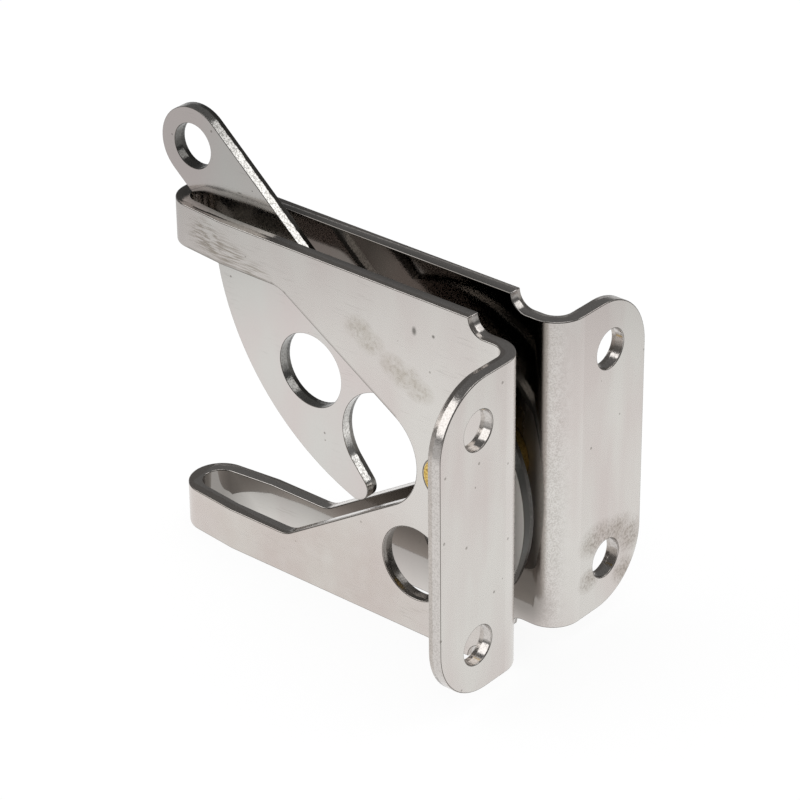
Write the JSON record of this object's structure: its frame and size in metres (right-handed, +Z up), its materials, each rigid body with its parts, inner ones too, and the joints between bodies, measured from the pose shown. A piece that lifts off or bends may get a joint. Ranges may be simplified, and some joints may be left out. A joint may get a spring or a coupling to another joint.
{
  "type": "gate latch",
  "caption": "Gravity gate latch: a folded sheet with a tapered mouth, screw flanges and padlock holes, and a flat hooked dog with a pull tab that drops behind a striker bar.",
  "frame": {"origin": "centre of the four screw holes, on the plane of the flanges' rear faces", "axes": "+X points out of the rear faces towards the post, the noses point to -X, +Z is up along the post and +Y runs across the two walls"},
  "size_m": [0.0814, 0.053, 0.0798],
  "materials": {
    "sheet_steel": "satin mill finish with fine pits and scratches",
    "dog_steel": "satin mill finish with bright cut edges",
    "brass": "dull, lightly speckled"
  },
  "bodies": {
    "frame": {"latch_body": "sheet_steel", "pivot_pin": "brass", "spacer_near": "brass", "spacer_far": "brass"},
    "dog": {"latch_dog": "dog_steel"}
  },
  "joints": [
    {"name": "dog_pivot", "type": "hinge", "parent": "frame", "child": "dog", "pos_m": [-0.016, 0, 0], "axis": [0, 1, 0], "range_deg": [0, 60]}
  ]
}
